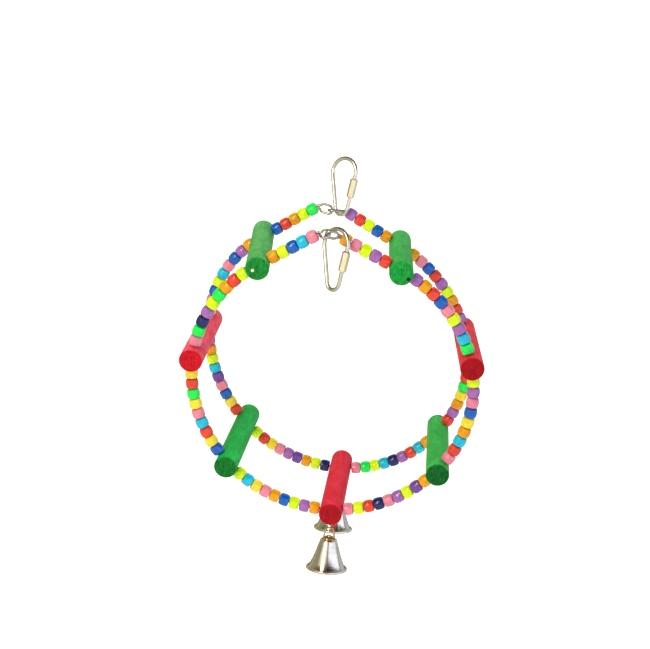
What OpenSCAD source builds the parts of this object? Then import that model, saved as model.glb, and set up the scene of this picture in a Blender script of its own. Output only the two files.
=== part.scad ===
// Ring swing for a caged bird: two beaded wire hoops tied by seven dowel perches, with quick links and bells

/* [Hoops] */
// Slope of the straight wire ends beside the opening at the top
end_angle = 28.25; // [26:0.25:30]
// Diameter of the hoop wire
wire_d = 1.8; // [1.6:0.1:2]
// Distance between the planes of the two hoops
hoop_gap = 70.5; // [60:0.5:80]
// Turn of the rear hoop in its own plane
rear_turn = -2.5; // [-3.5:0.5:-1.5]
// Sideways shift of the rear hoop
rear_shift = 5.2; // [4:0.2:6]
// Rise of the rear hoop over the front one
rear_lift = 0.5; // [0:0.1:1]
// Tilt of the wheel, rear side up
wheel_tilt = 12.7; // [11:0.1:14]
// Lean of the wheel to one side
wheel_lean = -3.5; // [-5:0.5:-2]

/* [Perches] */
// Diameter of the dowels
perch_d = 16; // [14:0.5:18]
// Length of dowel in front of the front hoop
front_overhang = 9; // [7:0.5:12]
// Length of dowel behind the rear hoop
rear_overhang = 15; // [12:0.5:18]
// Chamfer at the dowel's ends
perch_edge = 0.5; // [0.3:0.1:0.8]
// Gap between a dowel and the bead beside it
perch_play = 0.2; // [0.1:0.05:0.3]
// How much wider than the wire its bores are
bore_play = 1; // [0.9:0.1:1.2]

/* [Beads] */
// Diameter of a bead at its middle
bead_d = 8.8; // [8:0.1:9.6]
// Length of a bead along the wire
bead_l = 6.9; // [6.2:0.1:7.6]
// Space between neighbouring beads
bead_gap = 0.4; // [0.2:0.1:0.6]
// Radius of a bead's rounded shoulders
bead_round = 1.7; // [1.4:0.1:1.9]
// Radius of the barrel curve along a bead's side
barrel_r = 11; // [9:0.5:14]
// How much wider than two wires a bead's hole is
bead_play = 0.4; // [0.3:0.05:0.6]

/* [Wire eyes] */
// How much wider than the quick link's wire an eye is
eye_room = 1.4; // [1.2:0.1:1.7]
// Straight wire between the last bead and its eye
eye_neck = 1; // [0.8:0.1:1.2]
// Radius of the bends beside the neck
eye_bend_r = 2; // [1.7:0.1:2.3]
// Slack where the two eyes are linked
eye_slack = 0.8; // [0.6:0.1:1]
// Running gap between hooked wires
hook_play = 0.2; // [0.15:0.01:0.25]
// Height of the front eyes' meeting point over the line between their necks
front_apex_rise = 1.6; // [1.3:0.1:1.9]
// Height of the rear eyes' meeting point over the line between their necks
rear_apex_rise = -0.2; // [-0.5:0.1:0]
// How far the front eyes' meeting point stands in front of the hoop
front_apex_out = 2.1; // [1.8:0.1:2.4]
// How far the rear eyes' meeting point stands in front of the hoop
rear_apex_out = 2; // [1.6:0.1:2.4]

/* [Quick links] */
// Diameter of the quick link's wire
link_wire_d = 2.8; // [2.6:0.1:3]
// Height of a quick link over all
link_h = 42.4; // [40:0.2:46]
// Width of a quick link over its round bow
link_w = 22.4; // [21:0.2:24]
// Width of a quick link over its narrow end
link_end_w = 12.8; // [12.4:0.2:13.4]
// Length of the screw sleeve
sleeve_l = 13.4; // [12:0.2:14]
// Width of the screw sleeve across its flats
sleeve_flats = 4.9; // [4.5:0.1:5.4]
// Distance from the end of the bow to the closed sleeve
sleeve_start = 2.6; // [2:0.1:3.2]
// Opening of the link that the sleeve closes
link_opening = 5.2; // [4.6:0.1:5.6]
// Running gap of the sleeve on the wire
sleeve_play = 0.08; // [0.05:0.01:0.1]
// Turn of the rear link about the vertical
rear_link_turn = 31; // [29:0.5:33]
// Turn of the front link about the vertical
front_link_turn = 35; // [33:0.5:37]
// Distance from the neck to where the rear link is hooked
rear_hook_at = 3.9; // [3.7:0.1:4.1]
// Distance from the neck to where the front link is hooked
front_hook_at = 2.1; // [2:0.1:2.3]
// Where on its bow the front link is hooked, to the right of the top
front_hook_angle = 8; // [5:1:11]

/* [Bells] */
// Diameter over the bell's lip
bell_d = 28.2; // [26:0.2:30]
// Height of the bell's shell
bell_h = 22; // [20:0.5:24]
// Diameter of the bell's shoulder
shoulder_d = 12.4; // [11.6:0.2:13.4]
// Radius of the bell's shoulder
shoulder_r = 1.6; // [1.2:0.1:2]
// Thickness of the bell's metal
bell_wall = 0.6; // [0.5:0.05:0.8]
// Thickness of the rolled lip
lip_d = 1.6; // [1.4:0.1:1.9]
// Diameter of the collar on the bell's top
collar_d = 9.2; // [8.6:0.2:9.8]
// Thickness of the collar
collar_t = 0.9; // [0.7:0.1:1.2]
// Height of the strap bail over the collar
bail_h = 7.2; // [6.6:0.2:7.8]
// Width of the strap
strap_w = 3.4; // [2.8:0.2:4]
// Thickness of the strap
strap_t = 0.6; // [0.5:0.05:0.7]
// Outer width of the bail at its top
bail_top_w = 5.6; // [5:0.2:6.2]
// Diameter of the rivet that holds bail, collar and shell together
rivet_d = 1.8; // [1.5:0.1:2.1]
// Diameter of the clapper's ball
clapper_d = 5.6; // [5:0.2:6.4]
// Distance from the clapper's hook to the middle of its ball
clapper_l = 12.4; // [11:0.2:13]
// Wire of the small eyes that hold the clapper
small_wire_d = 0.8; // [0.7:0.05:0.9]

/* [Bell hangers] */
// Diameter of the staple's wire
staple_wire_d = 1; // [0.9:0.05:1.2]
// Distance between the middles of the staple's legs
staple_w = 4; // [3.6:0.2:4.6]
// How far the staple's bridge hangs under the perch
staple_drop = 2.5; // [2.3:0.1:2.8]
// How deep the staple's legs sit in the perch
staple_depth = 4.6; // [4:0.2:5]
// Wire of the ring between staple and bail
ring_wire_d = 0.9; // [0.8:0.05:1]
// Outer diameter of the ring
ring_d = 6.2; // [6:0.1:6.6]
// How far the front bell hangs in front of the front hoop
front_bell_out = 2; // [1.8:0.1:3]
// How far the rear bell hangs in front of the rear hoop
rear_bell_out = 12.5; // [10:0.5:14]
// How far the front bell hangs to the left of the perch's middle
front_bell_aside = 0.8; // [0:0.2:1.6]
// How far the rear bell hangs to the left of the perch's middle
rear_bell_aside = 2; // [1:0.2:2.6]

/* [Hidden] */
$fn = 48;

// The hoops are numbered front and rear, and their sides left and right
front = 0;
rear = 1;
left = 0;
right = 1;

// Colours of the beads from the bottom perch upwards: lower gap, middle gap, upper gap, open end
bead_order = [
    [["OVLBOPYCL", "BYRCPYGRY", "PGNVLGORL", "OLBCP"],
     ["PLRNPVLDO", "PRCOYBPVL", "GCVLPBROV", "RVLPO"]],
    [["NLODVPYRL", "RYBPDCLOV", "YPBLCPBVO", "BROLG"],
     ["PGLCNVRCO", "RVOYGRLCP", "VROLVRBPO", "OBLRV"]]];
// How much more or less than evenly the wire bends in each gap, from the bottom perch upwards
bend_shares = [[[0.97, 0.98, 1.05], [0.95, 1.07, 0.98]], [[0.93, 0.85, 1.15], [1.03, 1.10, 0.85]]];

gap_beads = len(bead_order[front][left][0]);
end_beads = len(bead_order[front][left][3]);
gaps = 3;
half_turn = 180;
quarter_turn = 90;
pi_deg = half_turn / PI;
overrun = 0.5 * wire_d;

bead_pitch = bead_l + bead_gap;
station_w = perch_d + 2 * perch_play;
gap_l = gap_beads * bead_pitch + station_w;
hoop_r = gaps * gap_l * pi_deg / (half_turn - end_angle);
// Length of wire from the middle of an upper perch to the face of the last bead
open_end_l = station_w / 2 + end_beads * bead_pitch - bead_gap / 2;
bead_hole_d = 2 * wire_d + bead_play;
perch_bore_d = wire_d + bore_play;

hoop_turn = [0, rear_turn];
hoop_shift = [0, rear_shift];
hoop_lift = [0, rear_lift];
hoop_y = [-hoop_gap / 2, hoop_gap / 2];

// Half the spacing of an eye's strands, and of the wires tucked in its last bead
eye_half = (link_wire_d + eye_room + wire_d) / 2;
tuck = (wire_d + bead_play / 4) / 2;
// Balls and collars join lengths of wire: slightly thicker than it, they cover the small gap between two lengths
ball_share = 1.04;
collar_share = 1.02;
collar_l_share = 0.16;
joint_gap_share = 0.03;
// Wire beyond the bends at the neck, and the end of wire tucked into the last bead
lead_l = wire_d / 6;
tail_l = 1.5 * wire_d;
// Turn of each eye about its own length: front left and right, rear left and right
eye_roll = [[-40, 145], [0, 98]];
apex_rise = [front_apex_rise, rear_apex_rise];
apex_out = [front_apex_out, rear_apex_out];
apex_aside = [-wire_d / 3, -wire_d / 2];

// A point on the wire, with the hoop's lowest point at zero: x, z and heading
function walk(bend, s, gap = 0, at = [0, 0, 0]) =
    let (run = gap < gaps ? min(s, gap_l) : s,
         r = gap < gaps ? hoop_r / bend[gap] : 0,
         turn = gap < gaps ? run * pi_deg / r : 0,
         to = gap < gaps ?
            [at.x + r * (sin(at.z + turn) - sin(at.z)), at.y + r * (cos(at.z) - cos(at.z + turn)), at.z + turn] :
            [at.x + run * cos(at.z), at.y + run * sin(at.z), at.z])
    s - run > bead_gap / 100 ? walk(bend, s - run, gap + 1, to) : to;

function across(side) = side == left ? -1 : 1;

// Place on a hoop, and the direction of its wire there, in the wheel's frame
function hoop_point(hoop, side, s) =
    let (w = walk(bend_shares[hoop][side], s), x = across(side) * w.x, z = w.y - hoop_r,
         c = cos(hoop_turn[hoop]), n = sin(hoop_turn[hoop]))
    [c * x - n * z + hoop_shift[hoop], hoop_y[hoop], n * x + c * z + hoop_lift[hoop]];
function hoop_heading(hoop, side, s) =
    let (w = walk(bend_shares[hoop][side], s), x = across(side) * cos(w.z), z = sin(w.z),
         c = cos(hoop_turn[hoop]), n = sin(hoop_turn[hoop]))
    [c * x - n * z, 0, n * x + c * z];
function unit(v) = v / norm(v);

// Where the neck ends and the eye begins, and the point at which the two eyes of a hoop meet
end_s = gaps * gap_l + open_end_l;
function neck(hoop, side) = hoop_point(hoop, side, end_s) + eye_neck * hoop_heading(hoop, side, end_s);
function face_mid(hoop) = (hoop_point(hoop, left, end_s) + hoop_point(hoop, right, end_s)) / 2;
function apex(hoop) = face_mid(hoop) + [apex_aside[hoop], -apex_out[hoop], apex_rise[hoop]];

// An eye's own axes: along its length, across its strands, and square to its plane
function eye_along(hoop, side) = unit(apex(hoop) - neck(hoop, side));
function eye_up(hoop, side) = let (a = eye_along(hoop, side)) unit([0, 0, 1] - a * a.z);
function eye_across(hoop, side) = let (a = eye_along(hoop, side), v = eye_up(hoop, side), roll = eye_roll[hoop][side])
    cos(roll) * v + sin(roll) * cross(a, v);
function eye_l(hoop, side) = norm(apex(hoop) - neck(hoop, side)) + (wire_d + eye_slack) / 2;
// How far a strand's bend at the neck lies behind the neck, or beyond it for the other strand
function mitre(hoop, side) = let (a = eye_along(hoop, side), w = eye_across(hoop, side),
    h = hoop_heading(hoop, side, end_s)) tuck * (w * h) / (1 + a * h);
// The bend of one of an eye's two strands, side by side in the last bead
function bend_at(hoop, side, m) =
    neck(hoop, side) + m * (tuck * eye_across(hoop, side) - mitre(hoop, side) * eye_along(hoop, side));
// The front strand of a hoop's right eye, at a distance from its neck
function strand(hoop, along) = let (w = eye_across(hoop, right))
    neck(hoop, right) + along * eye_along(hoop, right) + eye_half * (w.y > 0 ? -w : w);

function frame(at, x, y, z) = [[x.x, y.x, z.x, at.x], [x.y, y.y, z.y, at.y], [x.z, y.z, z.z, at.z], [0, 0, 0, 1]];

// Turning a point of the wheel's frame into the part's frame
function tilted(v) = let (x = cos(wheel_lean) * v.x + sin(wheel_lean) * v.z,
    z = cos(wheel_lean) * v.z - sin(wheel_lean) * v.x)
    [x, cos(wheel_tilt) * v.y - sin(wheel_tilt) * z, sin(wheel_tilt) * v.y + cos(wheel_tilt) * z];
function in_part(v) = tilted(v) + wheel_at;

// The quick link's outline: a round bow and a narrow end joined by two straight legs
bow_r = (link_w - link_wire_d) / 2;
end_r = (link_end_w - link_wire_d) / 2;
centres_l = link_h - link_wire_d - bow_r - end_r;
leg_slope = asin((bow_r - end_r) / centres_l);
leg_l = centres_l * cos(leg_slope);
leg_top = bow_r * [cos(leg_slope), -sin(leg_slope)];
leg_dir = -[sin(leg_slope), cos(leg_slope)];
hook_r = (link_wire_d + wire_d) / 2 + hook_play;
// Stubs of wire inside the closed sleeve
stub_l = (sleeve_l - link_opening) / 2;
opening_start = sleeve_start + stub_l / 2;

// The rear link hangs from the origin by the inside of its bow, and carries the wheel in its narrow end
rear_bow_at = [0, 0, -(bow_r - link_wire_d / 2)];
rear_hook = rear_bow_at - [0, 0, centres_l + end_r - hook_r];
wheel_at = rear_hook - tilted(strand(rear, rear_hook_at));
front_hook = in_part(strand(front, front_hook_at));
front_bow_at = front_hook - (bow_r - hook_r) * [sin(front_hook_angle) * cos(front_link_turn),
    -sin(front_hook_angle) * sin(front_link_turn), cos(front_hook_angle)];

// The bells hang under the bottom perch
perch_front = hoop_point(front, right, 0);
perch_dir = unit(hoop_point(rear, right, 0) - perch_front);
perch_span = norm(hoop_point(rear, right, 0) - perch_front);
function bridge_at(bell_out, aside) =
    perch_front + perch_dir * bell_out - [aside, 0, perch_d / 2 + staple_drop];
bridges = [bridge_at(-front_bell_out, front_bell_aside),
    bridge_at(perch_span - rear_bell_out, rear_bell_aside)];
ring_r = (ring_d - ring_wire_d) / 2;
ring_lift = (ring_wire_d + staple_wire_d) / 2 + hook_play / 2;
function ring_mid(bell) = in_part(bridges[bell]) + [0, 0, ring_lift - ring_r];
// Middle of the ring's lowest point, where the strap bears
function bell_pivot(bell) = ring_mid(bell) - [0, 0, ring_r];
// Height of the strap's underside over the pivot, where its edges bear inside the round ring
strap_seat = ring_r - sqrt(pow(ring_r - (ring_wire_d + hook_play) / 2, 2) - pow(strap_w / 2, 2));
bail_base = strap_seat + strap_t - bail_h;
shell_top = bail_base - collar_t;
seat_play = 0.05 * collar_t;
bell_segments = 16;
shoulder_segments = 5;
lip_segments = 10;
lip_open = 60;
cone_share = 0.8;
flare_power = 4;
eye_small_r = 1.6 * small_wire_d;
// Height of the rivet's eye, and of the clapper's pivot under it
rivet_eye_z = shell_top - bell_wall - rivet_d - eye_small_r;
clapper_z = rivet_eye_z - eye_small_r;
rivet_head_d = 1.7 * rivet_d;
rivet_head_t = 0.4 * rivet_d;

leaf = "#2e8b3d";
crimson = "#c81e3c";
steel = "#8d8f90";
nickel = "#c9c7bd";
brassy = "#cfc79a";

function tint(letter) =
    letter == "P" ? "#f06fa8" : letter == "C" ? "#12b5c9" : letter == "B" ? "#1a78c8" :
    letter == "N" ? "#1b2f8f" : letter == "L" ? "#d3f000" : letter == "Y" ? "#f5b800" :
    letter == "O" ? "#f28a1c" : letter == "R" ? "#e8342c" : letter == "G" ? "#12d36a" :
    letter == "V" ? "#a06fd0" : "#5a2d8a";

// Turns a shape that stands along Z so that it runs from one point to another
module along(a, b) {
    v = b - a;
    translate(a) rotate([0, acos(v.z / norm(v)), atan2(v.y, v.x)]) children();
}

module rod(a, b, d) {
    along(a, b) cylinder(d = d, h = norm(b - a));
}

// Part of a ring of round wire, lying flat, from one angle through a sweep
module bow(r, d, from, sweep) {
    short = joint_gap_share * d * pi_deg / r;
    rotate([0, 0, from + short]) rotate_extrude(angle = sweep - 2 * short) translate([r, 0]) circle(d = d);
}

// Ball in the corner between two straight lengths of wire
module ball(at, heading, d) {
    along(at, at + heading) sphere(d = ball_share * d);
}

// Collar that joins two lengths of wire where one goes over into the other without a corner
module collar(at, heading, d) {
    v = collar_l_share / 2 * d * unit(heading);
    rod(at - v, at + v, collar_share * d);
}

module on_wheel() {
    translate(wheel_at) rotate([wheel_tilt, 0, 0]) rotate([0, wheel_lean, 0]) children();
}

module hoop_side(hoop, side) {
    translate([hoop_shift[hoop], hoop_y[hoop], hoop_lift[hoop]]) rotate([0, -hoop_turn[hoop], 0])
    mirror([side == left ? 1 : 0, 0, 0]) rotate([quarter_turn, 0, 0]) {
        for (gap = [0 : gaps - 1]) {
            bend = bend_shares[hoop][side];
            at = walk(bend, gap * gap_l);
            r = hoop_r / bend[gap];
            translate([at.x - r * sin(at.z), at.y - hoop_r + r * cos(at.z), 0])
                bow(r, wire_d, at.z - quarter_turn, gap_l * pi_deg / r);
            if (gap > 0) collar([at.x, at.y - hoop_r, 0], [cos(at.z), sin(at.z), 0], wire_d);
        }
    }
    // The straight end, and both strands of the eye inside the last bead
    top = hoop_point(hoop, side, gaps * gap_l);
    h = hoop_heading(hoop, side, end_s);
    k = mitre(hoop, side);
    inner = bend_at(hoop, side, 1) - (bead_l + eye_neck + k) * h;
    collar(top, h, wire_d);
    span(top, inner);
    ball(inner, h, wire_d);
    span(inner, bend_at(hoop, side, 1));
    rod(bend_at(hoop, side, -1) - (tail_l + eye_neck - k) * h,
        bend_at(hoop, side, -1) - joint_gap_share * wire_d * h, wire_d);
}

// Straight hoop wire, just short of both its ends; where they are close, ball and collar meet without it
module span(a, b) {
    u = joint_gap_share * wire_d * unit(b - a);
    if (norm(b - a) > collar_l_share * wire_d) rod(a + u, b - u, wire_d);
}

// One oblong eye, drawn flat from its neck at the origin towards the other eye
module eye(l, k) {
    sway = acos(1 - (eye_half - tuck) / (2 * eye_bend_r));
    lead = abs(k) + lead_l;
    widened = lead + 2 * eye_bend_r * sin(sway);
    for (m = [0, 1]) mirror([0, m, 0]) {
        from = [m == 0 ? -k : k, tuck, 0];
        ball(from, [1, 0, 0], wire_d);
        for (at = [[lead, tuck, 0], [widened, eye_half, 0], [l - eye_half, eye_half, 0]])
            collar(at, [1, 0, 0], wire_d);
        collar([(lead + widened) / 2, (tuck + eye_half) / 2, 0], [cos(sway), sin(sway), 0], wire_d);
        span(from, [lead, tuck, 0]);
        translate([lead, tuck + eye_bend_r]) bow(eye_bend_r, wire_d, -quarter_turn, sway);
        translate([widened, eye_half - eye_bend_r]) bow(eye_bend_r, wire_d, quarter_turn, sway);
        span([widened, eye_half, 0], [l - eye_half, eye_half, 0]);
    }
    translate([l - eye_half, 0]) bow(eye_half, wire_d, -quarter_turn, half_turn);
}

module hoop_wire(hoop) {
    color(steel) on_wheel() union() {
        collar(hoop_point(hoop, right, 0), hoop_heading(hoop, right, 0), wire_d);
        for (side = [left, right]) {
            hoop_side(hoop, side);
            a = eye_along(hoop, side);
            w = eye_across(hoop, side);
            multmatrix(frame(neck(hoop, side), a, w, cross(a, w))) eye(eye_l(hoop, side), mitre(hoop, side));
        }
    }
}

module perch(side, station, tone) {
    s = station * gap_l;
    a = hoop_point(front, side, s);
    b = hoop_point(rear, side, s);
    u = unit(b - a);
    l = norm(b - a) + front_overhang + rear_overhang;
    color(tone) on_wheel() difference() {
        along(a - front_overhang * u, b) rotate_extrude() polygon([[0, 0], [perch_d / 2 - perch_edge, 0],
            [perch_d / 2, perch_edge], [perch_d / 2, l - perch_edge], [perch_d / 2 - perch_edge, l], [0, l]]);
        for (hoop = [front, rear]) {
            at = hoop_point(hoop, side, s);
            v = hoop_heading(hoop, side, s) * (perch_d / 2 + overrun);
            rod(at - v, at + v, perch_bore_d);
        }
        if (station == 0) for (bell = [front, rear]) staple_legs(bell, staple_wire_d + 2 * seat_play, seat_play);
    }
}

module bead() {
    flat_r = bead_d / 2 - bead_round;
    flat_l = bead_l / 2 - bead_round;
    rotate_extrude() difference() {
        intersection() {
            union() {
                translate([0, -bead_l / 2]) square([flat_r, bead_l]);
                translate([0, -flat_l]) square([bead_d / 2, 2 * flat_l]);
                for (m = [-1, 1]) translate([flat_r, m * flat_l]) circle(r = bead_round);
            }
            translate([bead_d / 2 - barrel_r, 0]) circle(r = barrel_r, $fn = 4 * $fn);
        }
        translate([-bead_hole_d / 2, -bead_l]) square([bead_hole_d, 2 * bead_l]);
    }
}

module beads(hoop, letter) {
    color(tint(letter)) on_wheel() for (side = [left, right], gap = [0 : gaps]) {
        row = bead_order[hoop][side][gap];
        for (i = [0 : len(row) - 1]) if (row[i] == letter) {
            s = gap * gap_l + station_w / 2 + (i + 0.5) * bead_pitch;
            at = hoop_point(hoop, side, s);
            along(at, at + hoop_heading(hoop, side, s)) bead();
        }
    }
}

// A quick link's wire, upright with its bow's middle at the origin
module link_wire() {
    rotate([quarter_turn, 0, 0]) {
        bow(bow_r, link_wire_d, -leg_slope, half_turn + 2 * leg_slope);
        translate([0, -centres_l]) bow(end_r, link_wire_d, half_turn + leg_slope, half_turn - 2 * leg_slope);
        leg(-1, 0, leg_l);
        leg(1, 0, opening_start);
        leg(1, opening_start + link_opening, leg_l);
        for (side = [-1, 1], s = [0, leg_l])
            collar(on_leg(side, s), on_leg(side, leg_l) - on_leg(side, 0), link_wire_d);
    }
}

// A point on the left or right leg, at a distance from the bow
function on_leg(side, s) = let (q = leg_top + s * leg_dir) [side * q.x, q.y, 0];

module leg(side, from, to) {
    rod(on_leg(side, from), on_leg(side, to), link_wire_d);
}

// The hexagonal sleeve, turned to a cone at its ends
module sleeve() {
    corner_d = sleeve_flats / cos(half_turn / 6);
    chamfer = (corner_d - sleeve_flats) / 2;
    bore = link_wire_d + 2 * sleeve_play;
    rotate([quarter_turn, 0, 0]) along(on_leg(1, sleeve_start), on_leg(1, leg_l)) difference() {
        intersection() {
            cylinder(d = corner_d, h = sleeve_l, $fn = 6);
            rotate_extrude() polygon([[0, 0], [sleeve_flats / 2 - chamfer, 0], [corner_d / 2, chamfer * 2],
                [corner_d / 2, sleeve_l - chamfer * 2], [sleeve_flats / 2 - chamfer, sleeve_l], [0, sleeve_l]]);
        }
        translate([0, 0, -overrun]) cylinder(d = bore, h = sleeve_l + 2 * overrun);
    }
}

module at_rear_link() {
    translate(rear_bow_at) rotate([0, 0, -rear_link_turn]) children();
}

module at_front_link() {
    translate(front_bow_at) rotate([0, 0, -front_link_turn]) children();
}

// The staple's two legs; a wider copy of them cuts their holes
module staple_legs(bell, d, extra) {
    up = [0, 0, staple_drop + staple_depth + extra];
    for (m = [-1, 1]) {
        foot = bridges[bell] + [m * staple_w / 2, 0, 0];
        rod(foot, foot + up, d);
    }
}

module staple(bell) {
    color(steel) on_wheel() {
        mid = bridges[bell];
        bend_r = staple_wire_d;
        half = staple_w / 2 - bend_r;
        rod(mid - [half, 0, 0], mid + [half, 0, 0], staple_wire_d);
        for (m = [0, 1]) translate(mid) mirror([m, 0, 0]) {
            translate([half, 0, bend_r]) rotate([quarter_turn, 0, 0])
                bow(bend_r, staple_wire_d, -quarter_turn, quarter_turn);
            foot = [staple_w / 2, 0, bend_r];
            collar([half, 0, 0], [1, 0, 0], staple_wire_d);
            collar(foot, [0, 0, 1], staple_wire_d);
            rod(foot, foot + [0, 0, staple_drop + staple_depth - bend_r], staple_wire_d);
        }
    }
}

module bell_ring(bell) {
    color(steel) translate(ring_mid(bell)) rotate([0, quarter_turn, 0])
        rotate_extrude() translate([ring_r, 0]) circle(d = ring_wire_d);
}

// A bent strap: a flat top that the ring bears under, two sloping sides, and a foot riveted to the collar
module bell_bail(bell) {
    top = strap_seat + strap_t;
    foot_w = collar_d - strap_t;
    color(nickel) translate(bell_pivot(bell)) translate([0, strap_w / 2, 0]) rotate([quarter_turn, 0, 0])
    linear_extrude(strap_w) difference() {
        polygon([[-foot_w / 2, bail_base], [foot_w / 2, bail_base], [bail_top_w / 2, top], [-bail_top_w / 2, top]]);
        polygon([[-foot_w / 2 + 2 * strap_t, bail_base + strap_t], [foot_w / 2 - 2 * strap_t, bail_base + strap_t],
            [bail_top_w / 2 - strap_t, strap_seat], [-bail_top_w / 2 + strap_t, strap_seat]]);
        translate([-rivet_d / 2 - seat_play, bail_base - overrun])
            square([rivet_d + 2 * seat_play, strap_t + overrun + seat_play]);
    }
}

module bell_collar(bell) {
    color(brassy) translate(bell_pivot(bell) + [0, 0, shell_top]) rotate_extrude() difference() {
        union() {
            square([collar_d / 2 - collar_t / 2, collar_t]);
            translate([collar_d / 2 - collar_t / 2, collar_t / 2]) circle(d = collar_t);
        }
        translate([-rivet_d, -overrun]) square([rivet_d * 1.5 + seat_play, collar_t + 2 * overrun]);
    }
}

// Radius of the shell's outside at a share of the way from its shoulder to its lip
function flare(t) = shoulder_d / 2
    + (bell_d - lip_d - shoulder_d) / 2 * (cone_share * t + (1 - cone_share) * pow(t, flare_power));
function shell_line(inset) = concat(
    [for (i = [0 : shoulder_segments]) let (a = i * quarter_turn / shoulder_segments)
        [shoulder_d / 2 - shoulder_r + (shoulder_r - inset) * sin(a), -shoulder_r + (shoulder_r - inset) * cos(a)]],
    [for (i = [1 : bell_segments]) let (t = i / bell_segments)
        [flare(t) - inset, -shoulder_r - t * (bell_h - shoulder_r - lip_d)]]);
// The rolled lip, from the outside of the wall round its edge to the inside
lip_points = [for (i = [0 : lip_segments]) let (a = lip_open - i * (half_turn + 2 * lip_open) / lip_segments)
    [bell_d / 2 - lip_d / 2 + lip_d / 2 * cos(a), -bell_h + lip_d / 2 + lip_d / 2 * sin(a)]];

module bell_shell(bell) {
    outer = shell_line(0);
    inner = shell_line(bell_wall);
    hole_r = rivet_d / 2 + seat_play;
    color(nickel) translate(bell_pivot(bell) + [0, 0, shell_top]) rotate_extrude()
        polygon(concat([[hole_r, 0]], outer, lip_points, [for (i = [len(inner) - 1 : -1 : 0]) inner[i]],
            [[hole_r, -bell_wall]]));
}

// The rivet: a head inside the bail, a shank through collar and shell, and an eye below
module bell_rivet(bell) {
    head_z = bail_base + strap_t;
    foot_z = shell_top - bell_wall;
    color(steel) translate(bell_pivot(bell)) union() {
        translate([0, 0, head_z]) cylinder(d = rivet_head_d, h = rivet_head_t);
        rod([0, 0, foot_z - rivet_d], [0, 0, head_z + rivet_head_t / 2], rivet_d);
        translate([0, 0, foot_z - rivet_d / 2]) cylinder(d = rivet_head_d, h = rivet_d / 2);
        translate([0, 0, rivet_eye_z]) rotate([quarter_turn, 0, 0])
            rotate_extrude() translate([eye_small_r, 0]) circle(d = small_wire_d);
    }
}

// The clapper: a wire with an eye round the rivet's eye, and a ball
module bell_clapper(bell) {
    lift = small_wire_d + hook_play / 2;
    eye_z = lift - eye_small_r;
    color(steel) translate(bell_pivot(bell) + [0, 0, clapper_z]) union() {
        translate([0, 0, eye_z]) rotate([0, quarter_turn, 0])
            rotate_extrude() translate([eye_small_r, 0]) circle(d = small_wire_d);
        rod([0, 0, -clapper_l], [0, 0, eye_z - eye_small_r], 1.25 * small_wire_d);
        translate([0, 0, -clapper_l]) sphere(d = clapper_d);
    }
}

module rear_link() {
    color(nickel) at_rear_link() link_wire();
}

module rear_sleeve() {
    color(brassy) at_rear_link() sleeve();
}

module front_link() {
    color(nickel) at_front_link() link_wire();
}

module front_sleeve() {
    color(brassy) at_front_link() sleeve();
}

rear_link();
rear_sleeve();
front_link();
front_sleeve();
hoop_wire(front);  // front_hoop_wire
hoop_wire(rear);  // rear_hoop_wire
perch(right, 0, crimson);  // perch_bottom
perch(left, 1, leaf);  // perch_lower_left
perch(left, 2, crimson);  // perch_left
perch(left, 3, leaf);  // perch_upper_left
perch(right, 1, leaf);  // perch_lower_right
perch(right, 2, crimson);  // perch_right
perch(right, 3, leaf);  // perch_upper_right
beads(front, "P");  // front_beads_pink
beads(front, "C");  // front_beads_cyan
beads(front, "B");  // front_beads_blue
beads(front, "N");  // front_beads_navy
beads(front, "L");  // front_beads_lime
beads(front, "Y");  // front_beads_yellow
beads(front, "O");  // front_beads_orange
beads(front, "R");  // front_beads_red
beads(front, "G");  // front_beads_green
beads(front, "V");  // front_beads_violet
beads(front, "D");  // front_beads_purple
beads(rear, "P");  // rear_beads_pink
beads(rear, "C");  // rear_beads_cyan
beads(rear, "B");  // rear_beads_blue
beads(rear, "N");  // rear_beads_navy
beads(rear, "L");  // rear_beads_lime
beads(rear, "Y");  // rear_beads_yellow
beads(rear, "O");  // rear_beads_orange
beads(rear, "R");  // rear_beads_red
beads(rear, "G");  // rear_beads_green
beads(rear, "V");  // rear_beads_violet
beads(rear, "D");  // rear_beads_purple
staple(front);  // front_bell_staple
bell_ring(front);  // front_bell_ring
bell_bail(front);  // front_bell_bail
bell_collar(front);  // front_bell_collar
bell_shell(front);  // front_bell_shell
bell_rivet(front);  // front_bell_rivet
bell_clapper(front);  // front_bell_clapper
staple(rear);  // rear_bell_staple
bell_ring(rear);  // rear_bell_ring
bell_bail(rear);  // rear_bell_bail
bell_collar(rear);  // rear_bell_collar
bell_shell(rear);  // rear_bell_shell
bell_rivet(rear);  // rear_bell_rivet
bell_clapper(rear);  // rear_bell_clapper
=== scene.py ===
# %% [markdown]
# # A beaded ring swing for a cage bird
#
# Two hoops of steel wire carry rows of plastic beads, and seven dyed dowels tie
# the hoops together. The swing hangs by one quick link, a second link hangs
# loose at the front, and two bells hang under the lowest dowel. The packed
# model already has the forms in their real size. Only the rolled lips of the
# bells are added here; the rest is about what the surfaces are made of, the
# light, and the camera.

import math

import bmesh
import bpy
import numpy as np
from mathutils import Matrix, Vector


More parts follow.
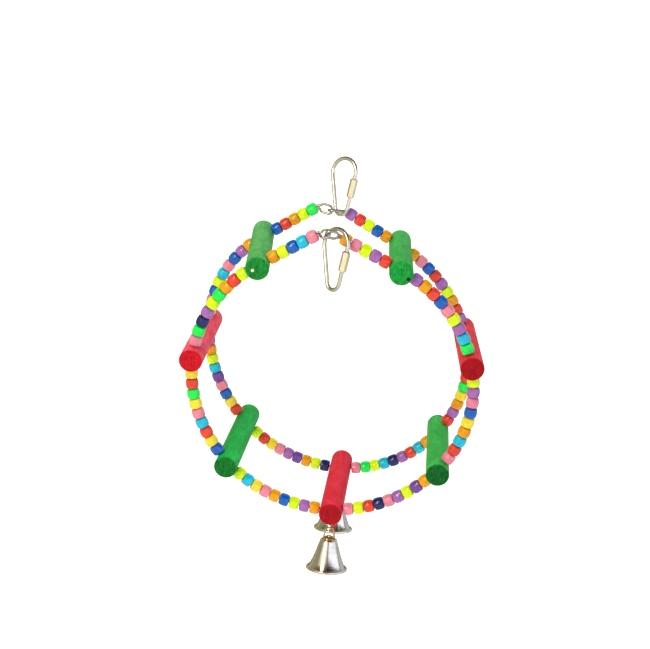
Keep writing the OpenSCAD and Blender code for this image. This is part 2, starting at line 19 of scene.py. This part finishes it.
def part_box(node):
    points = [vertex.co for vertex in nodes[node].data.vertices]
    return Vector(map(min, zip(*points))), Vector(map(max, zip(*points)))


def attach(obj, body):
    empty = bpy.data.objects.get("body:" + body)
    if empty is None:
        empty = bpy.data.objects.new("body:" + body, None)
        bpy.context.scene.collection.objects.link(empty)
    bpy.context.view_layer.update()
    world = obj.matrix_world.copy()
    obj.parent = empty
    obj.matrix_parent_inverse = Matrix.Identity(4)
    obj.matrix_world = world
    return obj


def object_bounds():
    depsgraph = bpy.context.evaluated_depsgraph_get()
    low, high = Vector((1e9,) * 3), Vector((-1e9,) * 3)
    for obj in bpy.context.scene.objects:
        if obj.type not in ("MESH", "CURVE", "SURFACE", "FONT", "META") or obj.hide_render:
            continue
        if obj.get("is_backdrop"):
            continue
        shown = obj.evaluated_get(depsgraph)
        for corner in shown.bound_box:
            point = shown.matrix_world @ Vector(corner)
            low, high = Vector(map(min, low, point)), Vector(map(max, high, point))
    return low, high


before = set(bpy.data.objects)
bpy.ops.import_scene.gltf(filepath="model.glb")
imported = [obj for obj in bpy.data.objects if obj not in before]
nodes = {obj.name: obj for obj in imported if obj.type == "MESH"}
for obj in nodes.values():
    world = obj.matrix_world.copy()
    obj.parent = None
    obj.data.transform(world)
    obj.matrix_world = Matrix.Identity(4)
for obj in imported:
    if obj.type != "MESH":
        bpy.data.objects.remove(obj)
cad_low, cad_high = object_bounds()
print("the swing's box:", [round(v, 4) for v in (*cad_low, *cad_high)])

# %% [markdown]
# The camera comes first, because every look is judged through it. The picture
# was taken from nearly straight ahead and a little above, with a long lens, so
# the two hoops nearly cover each other. The place and the turn were found by
# matching the dowels' ends, and they could also be set by hand with an empty to
# look at, but the small roll would be lost then.

# %% Camera
LENS_MM = 61.2
SENSOR_MM = 36.0
NEAREST_SEEN = 0.01
CAMERA_AT = (0.0462, -0.7820, -0.0606)
CAMERA_TURN_DEG = (85.902, -4.508, 4.075)

lens = bpy.data.cameras.new("swing_camera")
lens.lens = LENS_MM
lens.sensor_width = SENSOR_MM
lens.clip_start = NEAREST_SEEN
camera = bpy.data.objects.new("swing_camera", lens)
camera.location = CAMERA_AT
camera.rotation_euler = [math.radians(turn) for turn in CAMERA_TURN_DEG]
bpy.context.scene.collection.objects.link(camera)
bpy.context.scene.camera = camera
bpy.context.scene.view_settings.view_transform = "Standard"
print("camera", CAMERA_AT, "lens", LENS_MM)

# %% [markdown]
# A catalogue picture has a white ground without a horizon. One sheet that runs
# over the floor and up behind the swing in a soft bend gives that. It could be
# two planes, but their edge would show as a line, so the corner is bevelled.

# %% Pale floor and backdrop in one sweep
FLOOR_DROP = 0.16
FLOOR_Z = cad_low.z - FLOOR_DROP
SWEEP_BACK_Y = 0.75
SWEEP_HALF_W = 1.9
SWEEP_FRONT_Y = -1.6
SWEEP_TOP_Z = 1.5
SWEEP_BEND = 0.45
SWEEP_BEND_STEPS = 24
SAME_PLACE = 1e-6


def smooth(piece):
    """Shade a piece as one soft surface."""
    for face in piece.data.polygons:
        face.use_smooth = True
    return piece


def new_piece(name, mesh_in_progress):
    """Turn a bmesh into an object in the scene."""
    mesh = bpy.data.meshes.new(name)
    mesh_in_progress.to_mesh(mesh)
    mesh_in_progress.free()
    piece = bpy.data.objects.new(name, mesh)
    bpy.context.scene.collection.objects.link(piece)
    return piece


sheet = bmesh.new()
profile = [
    (SWEEP_FRONT_Y, FLOOR_Z),
    (SWEEP_BACK_Y, FLOOR_Z),
    (SWEEP_BACK_Y, SWEEP_TOP_Z),
]
rim = [sheet.verts.new((-SWEEP_HALF_W, y, z)) for y, z in profile]
lines = [sheet.edges.new(pair) for pair in zip(rim, rim[1:])]
swept = bmesh.ops.extrude_edge_only(sheet, edges=lines)["geom"]
bmesh.ops.translate(
    sheet,
    verts=[g for g in swept if isinstance(g, bmesh.types.BMVert)],
    vec=(2 * SWEEP_HALF_W, 0, 0),
)
corner = [
    e
    for e in sheet.edges
    if all(
        abs(v.co.y - SWEEP_BACK_Y) < SAME_PLACE and abs(v.co.z - FLOOR_Z) < SAME_PLACE
        for v in e.verts
    )
]
bmesh.ops.bevel(
    sheet,
    geom=corner,
    offset=SWEEP_BEND,
    segments=SWEEP_BEND_STEPS,
    profile=0.5,
    affect="EDGES",
    material=-1,
)
bmesh.ops.recalc_face_normals(sheet, faces=sheet.faces)
sweep = smooth(new_piece("studio_sweep", sheet))
sweep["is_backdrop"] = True
print("sweep", len(sweep.data.polygons), "faces, floor at", round(FLOOR_Z, 3))

# %% [markdown]
# Materials are built from nodes in code, so short helpers keep that readable.
# One adds a node and sets its sockets, and one joins two sockets. The others
# make what every finish here needs: a bare material, a node group, noise on a
# vector, a value stretched to a range, a sum, and a mix of two colours.

# %% Node helpers
VECTOR, COLOUR, VALUE = "NodeSocketVector", "NodeSocketColor", "NodeSocketFloat"
FINISH_OUTPUTS = (("Color", COLOUR), ("Roughness", VALUE), ("Height", VALUE))


def add(tree, kind, place=(0, 0), **values):
    """Add a node; values name its sockets with spaces as underscores."""
    node = tree.nodes.new(kind)
    node.location = place
    for key, value in values.items():
        node.inputs[key.replace("_", " ")].default_value = value
    return node


def join(tree, source, target):
    """Join an output socket to an input socket."""
    tree.links.new(source, target)


def blank_material(name):
    """A material with only a Principled shader and its output."""
    material = bpy.data.materials.new(name)
    material.use_nodes = True
    tree = material.node_tree
    tree.nodes.clear()
    shader = add(tree, "ShaderNodeBsdfPrincipled", (300, 0))
    output = add(tree, "ShaderNodeOutputMaterial", (600, 0))
    join(tree, shader.outputs["BSDF"], output.inputs["Surface"])
    return material, tree, shader


def new_group(name, inputs):
    """A node group with named inputs, a finish's outputs and its two end nodes."""
    group = bpy.data.node_groups.new(name, "ShaderNodeTree")
    for direction, sockets in (("INPUT", inputs), ("OUTPUT", FINISH_OUTPUTS)):
        for label, kind in sockets:
            group.interface.new_socket(name=label, in_out=direction, socket_type=kind)
    first = add(group, "NodeGroupInput", (-900, 0))
    last = add(group, "NodeGroupOutput", (700, 0))
    return group, first, last


def place_group(tree, group, **values):
    """Put a node group into a material with its own values."""
    node = tree.nodes.new("ShaderNodeGroup")
    node.node_tree = group
    node.location = (-300, 0)
    for key, value in values.items():
        node.inputs[key.replace("_", " ")].default_value = value
    return node


def noise(tree, vector, scale, detail=2.0, rough=0.5):
    """Noise on a vector, as a value round 0.5."""
    node = add(tree, "ShaderNodeTexNoise", Scale=scale, Detail=detail, Roughness=rough)
    join(tree, vector, node.inputs["Vector"])
    return node.outputs["Fac"]


def between(tree, value, low, high, to_low=0.0, to_high=1.0):
    """Stretch a value from one range to another, and hold it inside."""
    ends = {"From_Min": low, "From_Max": high, "To_Min": to_low, "To_Max": to_high}
    node = add(tree, "ShaderNodeMapRange", **ends)
    node.clamp = True
    node.interpolation_type = "SMOOTHSTEP"
    join(tree, value, node.inputs["Value"])
    return node.outputs["Result"]


def maths(tree, operation, first, second):
    """One sum on two values; either may be a socket or a number."""
    node = tree.nodes.new("ShaderNodeMath")
    node.operation = operation
    for slot, value in zip(node.inputs, (first, second)):
        if isinstance(value, (int, float)):
            slot.default_value = value
        else:
            join(tree, value, slot)
    return node.outputs[0]


def against(tree, operation, vector, fixed):
    """A dot product or a distance between a vector and a fixed one."""
    node = tree.nodes.new("ShaderNodeVectorMath")
    node.operation = operation
    node.inputs[1].default_value = fixed
    join(tree, vector, node.inputs[0])
    return node.outputs["Value"]


def mix_colour(tree, factor, first, second):
    """Mix two colours; each may be a socket or a colour."""
    node = tree.nodes.new("ShaderNodeMix")
    node.data_type = "RGBA"
    # A Mix node has sockets for every data type; 6, 7 and output 2 are the colours.
    slots = [node.inputs[i] for i in (0, 6, 7)]
    for slot, value in zip(slots, (factor, first, second)):
        if isinstance(value, bpy.types.NodeSocket):
            join(tree, value, slot)
        else:
            slot.default_value = value
    return node.outputs[2]


def stretched(tree, vector, scale):
    """Scale a vector's three parts on their own."""
    node = add(tree, "ShaderNodeMapping", Scale=scale)
    join(tree, vector, node.inputs["Vector"])
    return node.outputs["Vector"]


def colour(code):
    """A six-figure screen colour in linear light, with full alpha."""
    parts = [int(code[i : i + 2], 16) / 255 for i in (1, 3, 5)]
    # The two branches are the screen's own curve: straight near black, a power above it.
    linear = [p / 12.92 if p <= 0.04045 else ((p + 0.055) / 1.055) ** 2.4 for p in parts]
    return (*linear, 1.0)


def coat(tree, shader, finish, relief, depth, base=None):
    """Feed a finish group's colour, roughness and height into the shader."""
    bump = add(tree, "ShaderNodeBump", (0, -300), Strength=relief, Distance=depth)
    join(tree, finish.outputs["Height"], bump.inputs["Height"])
    join(tree, base or finish.outputs["Color"], shader.inputs["Base Color"])
    join(tree, finish.outputs["Roughness"], shader.inputs["Roughness"])
    join(tree, bump.outputs["Normal"], shader.inputs["Normal"])


def own_places(tree):
    """The Object coordinates, which stay with the piece."""
    return add(tree, "ShaderNodeTexCoord", (-700, 0)).outputs["Object"]


def dress(names, material):
    """Give CAD nodes a material in place of their own."""
    for name in names:
        slots = nodes[name].data.materials
        slots.clear()
        slots.append(material)


print("helpers ready")

# %% [markdown]
# The sweep is matt white paper. A little light of its own keeps it even, as a
# picture editor does when the ground is cut out. The real studio was not that
# white, and metal still shows it: in reflections the paper is an olive grey on
# the left and a plain grey on the right, which gives wire, links and bells
# their darker rims.

# %% Paper of the sweep
PAPER_TONES = (colour("#f7f7f5"), colour("#fbfbfa"))
MIRRORED_LEFT = colour("#aaa080")
MIRRORED_RIGHT = colour("#b4b4b4")
MIRRORED_BLEND = 0.4
PAPER_TOOTH = 40.0
PAPER_GLOW = 0.45
PAPER_ROUGHNESS = 0.9

paper, tree, shader = blank_material("white_paper")
places = own_places(tree)
tooth = between(tree, noise(tree, places, PAPER_TOOTH), 0.3, 0.7)
seen_paper = mix_colour(tree, tooth, *PAPER_TONES)
across = add(tree, "ShaderNodeSeparateXYZ", (-500, -300))
join(tree, places, across.inputs["Vector"])
side = between(tree, across.outputs["X"], -MIRRORED_BLEND, MIRRORED_BLEND)
mirrored_paper = mix_colour(tree, side, MIRRORED_LEFT, MIRRORED_RIGHT)
rays = tree.nodes.new("ShaderNodeLightPath")
paper_colour = mix_colour(tree, rays.outputs["Is Glossy Ray"], seen_paper, mirrored_paper)
for target in ("Base Color", "Emission Color"):
    join(tree, paper_colour, shader.inputs[target])
shader.inputs["Emission Strength"].default_value = PAPER_GLOW
shader.inputs["Roughness"].default_value = PAPER_ROUGHNESS
sweep.data.materials.append(paper)
print("paper on", sweep.name)

# %% [markdown]
# The dowels are dipped in dye, not painted, so the grain shows. The dye lies
# thin on the raised fibres and soaks deep into the end grain, which comes out
# darker. One node group draws this for both dyes. It works on a vector that
# runs along the dowel in Z, so each dowel turns the pattern to its own axis.

# %% Dyed grain as a node group
# Each row: stretch along the dowel, scale, detail, roughness, and the range kept.
GRAIN_NOISE = {
    "fibre": (0.035, 1300.0, 4.0, 0.6, 0.36, 0.66),
    "pore": (0.12, 2100.0, 2.0, 0.5, 0.60, 0.70),
    "blotch": (0.4, 110.0, 3.0, 0.55, 0.34, 0.68),
    "cloud": (0.5, 260.0, 2.0, 0.5, 0.38, 0.66),
}
BLOTCH_SHARE, CLOUD_SHARE, FIBRE_SHARE = 0.5, 0.3, 0.2
PORE_DEPTH = 0.45
FIBRE_HEIGHT = 0.4
END_STRETCH = (1, 0.22, 1)
END_RAYS, END_CLOUDS = 900.0, 420.0
END_RANGE = (0.34, 0.66)
WOOD_ROUGH, WOOD_SMOOTH = 0.62, 0.5
DYE_KEYS = ("Dye", "Thin Dye", "Soaked Dye", "End Dye")

grain, first, last = new_group(
    "dyed_grain", [("Along", VECTOR), ("End Grain", VALUE), *[(key, COLOUR) for key in DYE_KEYS]]
)
along = first.outputs["Along"]
dye, thin_dye, soaked_dye, end_dye = [first.outputs[key] for key in DYE_KEYS]
raw, masks = {}, {}
for name, (stretch, scale, detail, rough, low, high) in GRAIN_NOISE.items():
    raw[name] = noise(grain, stretched(grain, along, (1, 1, stretch)), scale, detail, rough)
    masks[name] = between(grain, raw[name], low, high)

thin = maths(
    grain,
    "ADD",
    maths(grain, "MULTIPLY", masks["blotch"], BLOTCH_SHARE),
    maths(grain, "MULTIPLY", masks["cloud"], CLOUD_SHARE),
)
thin = maths(grain, "ADD", thin, maths(grain, "MULTIPLY", masks["fibre"], FIBRE_SHARE))
side_colour = mix_colour(grain, thin, dye, thin_dye)
pores = maths(grain, "MULTIPLY", masks["pore"], PORE_DEPTH)
side_colour = mix_colour(grain, pores, side_colour, soaked_dye)

end_rays = noise(grain, stretched(grain, along, END_STRETCH), END_RAYS, 3.0, 0.6)
end_clouds = noise(grain, along, END_CLOUDS, 3.0, 0.6)
specks = maths(grain, "MULTIPLY", maths(grain, "ADD", end_rays, end_clouds), 0.5)
end_colour = mix_colour(grain, between(grain, specks, *END_RANGE), soaked_dye, end_dye)

whole = mix_colour(grain, first.outputs["End Grain"], side_colour, end_colour)
roughness = between(grain, raw["fibre"], 0.3, 0.7, WOOD_ROUGH, WOOD_SMOOTH)
raised = maths(grain, "MULTIPLY", masks["fibre"], FIBRE_HEIGHT)
join(grain, whole, last.inputs["Color"])
join(grain, roughness, last.inputs["Roughness"])
join(grain, maths(grain, "SUBTRACT", raised, masks["pore"]), last.inputs["Height"])
print("group", grain.name)

# %% [markdown]
# Each dowel gets its own material, because the grain has to run along it, and
# because no two dowels took the dye alike. Its axis is measured from the
# middles of its two end faces. One end has a pale chip. Another has a dark
# spot of painted shade where the mouth of a wire hole lies in shadow. Both
# are spots round a point on the end face.

# %% Seven dyed dowels
HOOP_AXIS = (0.0, 0.9755, 0.2198)
END_DEPTH = 0.0008
AXIS_ROUNDS = 5
END_FACING = (0.55, 0.9)
CHIP_AND_SHADE_EDGE = (0.7, 1.1)
WOOD_RELIEF, WOOD_RELIEF_DEPTH = 0.5, 0.00012
WOOD_SHEEN = 0.12
# The four codes of a row go with DYE_KEYS.
DOWELS = {
    "perch_bottom": ("#c20820", "#da2244", "#820410", "#a80a1c"),
    "perch_lower_left": ("#04943a", "#10c052", "#04501a", "#0a7a2a"),
    "perch_left": ("#d02440", "#ec5a74", "#960614", "#c80e24"),
    "perch_upper_left": ("#329040", "#58ae62", "#085e20", "#189038"),
    "perch_lower_right": ("#1a9a38", "#34b850", "#033f16", "#086a26"),
    "perch_right": ("#c40a22", "#dc3248", "#7c0410", "#a4081a"),
    "perch_upper_right": ("#178f34", "#30ab4c", "#08702a", "#18a040"),
}
# Place right and up from the end's middle, radius and colour of each spot; the dark spot is
# painted shade for a wire hole's mouth.
CHIP_AND_HOLE_SHADE_SPOTS = {
    "perch_upper_left": ((-0.0030, -0.0014), 0.0012, "#e6dfc0"),
    # Painted shade: the dark mouth of a wire hole.
    "perch_upper_right": ((0.0048, -0.0033), 0.0015, "#1d1519"),
}


def dowel_ends(name):
    """The middles of a dowel's front and back faces, found in a few rounds."""
    points = np.array([v.co for v in nodes[name].data.vertices])
    axis = np.array(HOOP_AXIS)
    for _ in range(AXIS_ROUNDS):
        depth = points @ axis
        near = points[depth < depth.min() + END_DEPTH]
        far = points[depth > depth.max() - END_DEPTH]
        front, back = [(face.min(0) + face.max(0)) / 2 for face in (near, far)]
        axis = (back - front) / np.linalg.norm(back - front)
    return Vector(front), Vector(back)


def dyed_wood(name, codes):
    """Dyed wood whose grain runs along one dowel."""
    front, back = dowel_ends(name)
    axis = (back - front).normalized()
    turn = axis.rotation_difference(Vector((0, 0, 1))).to_euler()
    material, tree, shader = blank_material(f"dyed_{name}")
    coordinates = add(tree, "ShaderNodeTexCoord", (-1100, 0))
    turned = add(tree, "ShaderNodeMapping", (-900, 0), Rotation=turn)
    join(tree, coordinates.outputs["Object"], turned.inputs["Vector"])
    facing = against(tree, "DOT_PRODUCT", coordinates.outputs["Normal"], axis)
    end_grain = between(tree, maths(tree, "ABSOLUTE", facing, 0.0), *END_FACING)
    wood = place_group(tree, grain)
    for key, code in zip(DYE_KEYS, codes):
        wood.inputs[key].default_value = colour(code)
    join(tree, turned.outputs["Vector"], wood.inputs["Along"])
    join(tree, end_grain, wood.inputs["End Grain"])
    wood_colour = wood.outputs["Color"]
    # A spot on the end face: a pale chip on perch_upper_left, and painted shade for a wire hole's
    # dark mouth on perch_upper_right.
    if name in CHIP_AND_HOLE_SHADE_SPOTS:
        (right, up), radius, code = CHIP_AND_HOLE_SHADE_SPOTS[name]
        upward = Vector((1, 0, 0)).cross(axis).normalized()
        spot = front + right * axis.cross(upward) + up * upward
        reach = against(tree, "DISTANCE", coordinates.outputs["Object"], spot)
        inner, outer = [radius * share for share in CHIP_AND_SHADE_EDGE]
        chip_and_shade_mask = between(tree, reach, inner, outer, 1.0, 0.0)
        wood_colour = mix_colour(tree, chip_and_shade_mask, wood_colour, colour(code))
    coat(tree, shader, wood, WOOD_RELIEF, WOOD_RELIEF_DEPTH, wood_colour)
    shader.inputs["Specular IOR Level"].default_value = WOOD_SHEEN
    dress([name], material)
    return (back - front).length


for dowel, codes in DOWELS.items():
    length = dyed_wood(dowel, codes)
    print(dowel, "length", round(length * 1000, 1), "mm")

# %% [markdown]
# The beads are moulded plastic: bright, glossy and slightly cloudy, so light
# sinks in a little before it comes back. Subsurface scattering gives that, where
# a plain diffuse colour looks like paint. A group varies tone and gloss softly.

# %% Moulded plastic as a node group
TONE_CLOUDS, TONE_RANGE = 210.0, (0.3, 0.75)
RIPPLES, RIPPLE_RANGE = 520.0, (0.3, 0.7)
BEAD_GLOSS = (0.12, 0.2)

plastic, first, last = new_group(
    "moulded_plastic", [("Vector", VECTOR), ("Tone", COLOUR), ("Deep Tone", COLOUR)]
)
clouds = noise(plastic, first.outputs["Vector"], TONE_CLOUDS, 2.0, 0.5)
ripples = noise(plastic, first.outputs["Vector"], RIPPLES, 1.0, 0.4)
clouded = between(plastic, clouds, *TONE_RANGE)
tones = mix_colour(plastic, clouded, first.outputs["Tone"], first.outputs["Deep Tone"])
join(plastic, tones, last.inputs["Color"])
join(plastic, between(plastic, ripples, *RIPPLE_RANGE, *BEAD_GLOSS), last.inputs["Roughness"])
join(plastic, ripples, last.inputs["Height"])
print("group", plastic.name)

# %% Eleven bead colours
BEAD_TONES = {
    "pink": ("#e0839e", "#c9758e"),
    "cyan": ("#00b9df", "#00a6c9"),
    "blue": ("#005dc4", "#0053b0"),
    "navy": ("#152068", "#121b5d"),
    "lime": ("#cdee00", "#b8d600"),
    "yellow": ("#e9d638", "#d2c032"),
    "orange": ("#e19900", "#ca8900"),
    "red": ("#d93d2e", "#c33628"),
    "green": ("#00ea57", "#00d24e"),
    "violet": ("#9d64b6", "#8c59a3"),
    "purple": ("#6d43a2", "#613b91"),
}
BEAD_RELIEF, BEAD_RELIEF_DEPTH = 0.15, 0.0001
BEAD_SHADER = {
    "Subsurface Weight": 0.3,
    "Subsurface Radius": (1.0, 0.8, 0.6),
    "Subsurface Scale": 0.0015,
    "IOR": 1.58,
    "Specular IOR Level": 0.5,
}


def bead_plastic(tone):
    """Cloudy glossy plastic in one of the beads' colours."""
    light, deep = BEAD_TONES[tone]
    material, tree, shader = blank_material(f"bead_{tone}")
    moulded = place_group(tree, plastic, Tone=colour(light), Deep_Tone=colour(deep))
    join(tree, own_places(tree), moulded.inputs["Vector"])
    coat(tree, shader, moulded, BEAD_RELIEF, BEAD_RELIEF_DEPTH)
    for key, value in BEAD_SHADER.items():
        shader.inputs[key].default_value = value
    dress([n for n in nodes if n.endswith(f"beads_{tone}")], material)


for tone in BEAD_TONES:
    bead_plastic(tone)
print(len(BEAD_TONES), "bead colours")

# %% [markdown]
# Everything else is metal. Bare steel wire is dull with fine drawn lines, the
# links and bells are nickel plate, the sleeves are yellowish zinc, the bails
# are dull brass and the bells' collars show copper. They differ in colour and
# in gloss, so one group draws smudges and tiny scratches, and each metal sets
# its own colours.

# %% Plated metal as a node group
SMUDGES, SMUDGE_RANGE = 160.0, (0.35, 0.7)
SMUDGE_DULLS = 0.08
SCRATCHES, SCRATCH_STRETCH = 700.0, (1, 1, 6)

plate, first, last = new_group(
    "plated_metal", [("Vector", VECTOR), ("Bright", COLOUR), ("Dull", COLOUR), ("Polish", VALUE)]
)
on_metal = first.outputs["Vector"]
smudges = between(plate, noise(plate, on_metal, SMUDGES, 3.0, 0.6), *SMUDGE_RANGE)
scratches = noise(plate, stretched(plate, on_metal, SCRATCH_STRETCH), SCRATCHES, 2.0, 0.5)
smudged = mix_colour(plate, smudges, first.outputs["Bright"], first.outputs["Dull"])
dulled = maths(plate, "MULTIPLY", smudges, SMUDGE_DULLS)
join(plate, smudged, last.inputs["Color"])
join(plate, maths(plate, "ADD", dulled, first.outputs["Polish"]), last.inputs["Roughness"])
join(plate, scratches, last.inputs["Height"])
print("group", plate.name)

# %% Wire, links, sleeves and bells
# Each row: bright and dull tone, roughness, and how far the scratches show.
METALS = {
    "steel_wire": ("#cdcece", "#abacab", 0.32, 0.12),
    "link_nickel": ("#edefee", "#dbdddc", 0.27, 0.1),
    "sleeve_zinc": ("#fffcf0", "#f6f1dc", 0.42, 0.1),
    "bell_nickel": ("#f5f4f5", "#e0dedd", 0.14, 0.08),
    "bail_brass": ("#d8cda6", "#a99f78", 0.2, 0.12),
    "collar_copper": ("#ecc690", "#cc9c62", 0.2, 0.12),
}
# A dark grey tint on every metal's reflection near its rims: painted shade that darkens the edges
# of wire, links, sleeves, bails, collars and bells.
PAINTED_RIM_SHADE_TINT = colour("#8a867a")
SCRATCH_DEPTH = 0.00005


def metal(name, on):
    """Plated metal from the table above, put on CAD nodes."""
    bright, dull, polish, relief = METALS[name]
    material, tree, shader = blank_material(name)
    tones = {"Bright": colour(bright), "Dull": colour(dull)}
    plated = place_group(tree, plate, Polish=polish, **tones)
    join(tree, own_places(tree), plated.inputs["Vector"])
    coat(tree, shader, plated, relief, SCRATCH_DEPTH)
    shader.inputs["Metallic"].default_value = 1.0
    # Painted shade on the rims, through the dark reflection tint.
    shader.inputs["Specular Tint"].default_value = PAINTED_RIM_SHADE_TINT
    dress(on, material)


ENDS = ("front", "rear")
WEARERS = {
    "steel_wire": ("hoop_wire", "bell_staple"),
    "link_nickel": ("link",),
    "sleeve_zinc": ("sleeve",),
    "bell_nickel": ("bell_ring", "bell_shell", "bell_rivet", "bell_clapper"),
    "bail_brass": ("bell_bail",),
    "collar_copper": ("bell_collar",),
}
for name, parts in WEARERS.items():
    metal(name, [f"{end}_{part}" for part in parts for end in ENDS])
print("metals:", ", ".join(METALS))

# %% [markdown]
# A bell's lip is rolled outward into a small bead, which catches its own line of
# light under the dark flare. A circle is spun round the bell's axis for it; a
# ready-made torus would do too, but its place then has to be set afterwards.

# %% Rolled lips of the bells
LIP_BEAD_R = 0.0012
LIP_PROUD = 0.0004
LIP_SIDES, LIP_STEPS = 20, 72


def rolled_lip(bell):
    """A round bead along a bell's lip, which swings with the bell."""
    low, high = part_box(f"{bell}_shell")
    middle = (Vector(low) + Vector(high)) / 2
    reach = (high[0] - low[0]) / 2 + LIP_PROUD - LIP_BEAD_R
    roll = bmesh.new()
    place = Matrix.Translation((middle.x + reach, middle.y, low[2] + LIP_BEAD_R))
    upright = place @ Matrix.Rotation(math.radians(90), 4, "X")
    bmesh.ops.create_circle(roll, segments=LIP_SIDES, radius=LIP_BEAD_R, matrix=upright)
    bmesh.ops.spin(
        roll,
        geom=[*roll.verts, *roll.edges],
        cent=middle,
        axis=(0, 0, 1),
        angle=math.tau,
        steps=LIP_STEPS,
        use_merge=True,
    )
    bmesh.ops.recalc_face_normals(roll, faces=roll.faces)
    lip = smooth(new_piece(f"{bell}_lip", roll))
    lip.data.materials.append(bpy.data.materials["bell_nickel"])
    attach(lip, bell)
    return lip


for end in ENDS:
    print(rolled_lip(f"{end}_bell").name, "rolled")

# %% [markdown]
# Metal shows the studio more than it shows itself, so the lights were read off
# the bells. They show a warm panel left of the camera, a dark gap where the
# camera stands, a broad white panel on the right, and a dark ceiling in the
# flare above the lip. The beads' bright spots come from a narrow upright box on
# the left. A small box over it gives the shadows, and a soft one above fills the
# dowels' top sides. Metal mirrors neither, or the ceiling would look white. The
# last box lights the paper behind the swing. Past the paper's edges the room
# shows pale in side views; in reflections its walls are olive on the left and
# grey on the right, as the paper is.

# %% Soft lights and the room
AT_WHEEL = (0.0, 0.0, -0.22)
WHITE = "#ffffff"
# Each row: place, aim, width and height, watts, tint, and whether metal mirrors it.
LIGHTS = {
    "warm_panel": ((-0.64, -1.02, -0.10), AT_WHEEL, (1.28, 0.95), 2.6, "#fff2cc", True),
    "white_panel": ((0.98, -0.69, -0.10), AT_WHEEL, (2.3, 0.95), 5.8, "#fbfaff", True),
    "strip_box": ((-0.44, -0.80, 0.27), (0, 0, -0.14), (0.13, 0.60), 4.4, "#fff0cc", True),
    "key_fill": ((-0.35, -0.75, 0.62), (0, 0, -0.14), (0.25, 0.25), 2.6, WHITE, False),
    "top_fill": ((0.0, -0.10, 0.85), (0, 0, -0.15), (0.8, 0.8), 2.2, WHITE, False),
    "back_wash": ((0.0, 0.15, 0.9), (0, 0.8, -0.1), (1.4, 1.4), 6.0, WHITE, False),
}
for name, (at, aim, (width, tall), watts, tint, mirrored) in LIGHTS.items():
    lamp = bpy.data.lights.new(name, "AREA")
    lamp.shape = "RECTANGLE"
    lamp.size = width
    lamp.size_y = tall
    lamp.energy = watts
    lamp.color = colour(tint)[:3]
    holder = bpy.data.objects.new(name, lamp)
    holder.location = at
    holder.rotation_euler = (Vector(aim) - Vector(at)).to_track_quat("-Z", "Y").to_euler()
    holder.visible_glossy = mirrored
    bpy.context.scene.collection.objects.link(holder)

CEILING_FROM, CEILING_TO = 0.33, 0.62
WALL_BLEND = 0.3
WALL_LEFT, WALL_RIGHT = colour("#dfd4ac"), colour("#dcdcdc")
CEILING = colour("#463b3a")
ROOM_GLOW, SEEN_GLOW = 0.42, 0.95

room = bpy.data.worlds.new("room")
room.use_nodes = True
tree = room.node_tree
tree.nodes.clear()
directions = add(tree, "ShaderNodeTexCoord", (-900, 0))
split = add(tree, "ShaderNodeSeparateXYZ", (-700, 0))
join(tree, directions.outputs["Generated"], split.inputs["Vector"])
side = between(tree, split.outputs["X"], -WALL_BLEND, WALL_BLEND)
walls = mix_colour(tree, side, WALL_LEFT, WALL_RIGHT)
height = between(tree, split.outputs["Z"], CEILING_FROM, CEILING_TO)
glow = add(tree, "ShaderNodeBackground", (200, 0), Strength=ROOM_GLOW)
join(tree, mix_colour(tree, height, walls, CEILING), glow.inputs["Color"])
seen = add(tree, "ShaderNodeBackground", (200, -150), Color=colour("#f4f4f2"), Strength=SEEN_GLOW)
rays = tree.nodes.new("ShaderNodeLightPath")
either = tree.nodes.new("ShaderNodeMixShader")
ways = (rays.outputs["Is Camera Ray"], glow.outputs["Background"], seen.outputs["Background"])
for source, slot in zip(ways, either.inputs):
    join(tree, source, slot)
end = add(tree, "ShaderNodeOutputWorld", (400, 0))
join(tree, either.outputs["Shader"], end.inputs["Surface"])
bpy.context.scene.world = room
print(len(LIGHTS), "soft boxes")

# %% [markdown]
# Last, the box is printed once more, to set beside the one printed at the start; the looks should
# not change the swing's size.

# %% The box at the end
low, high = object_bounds()
print("box now:", [round(v, 4) for v in (*low, *high)])
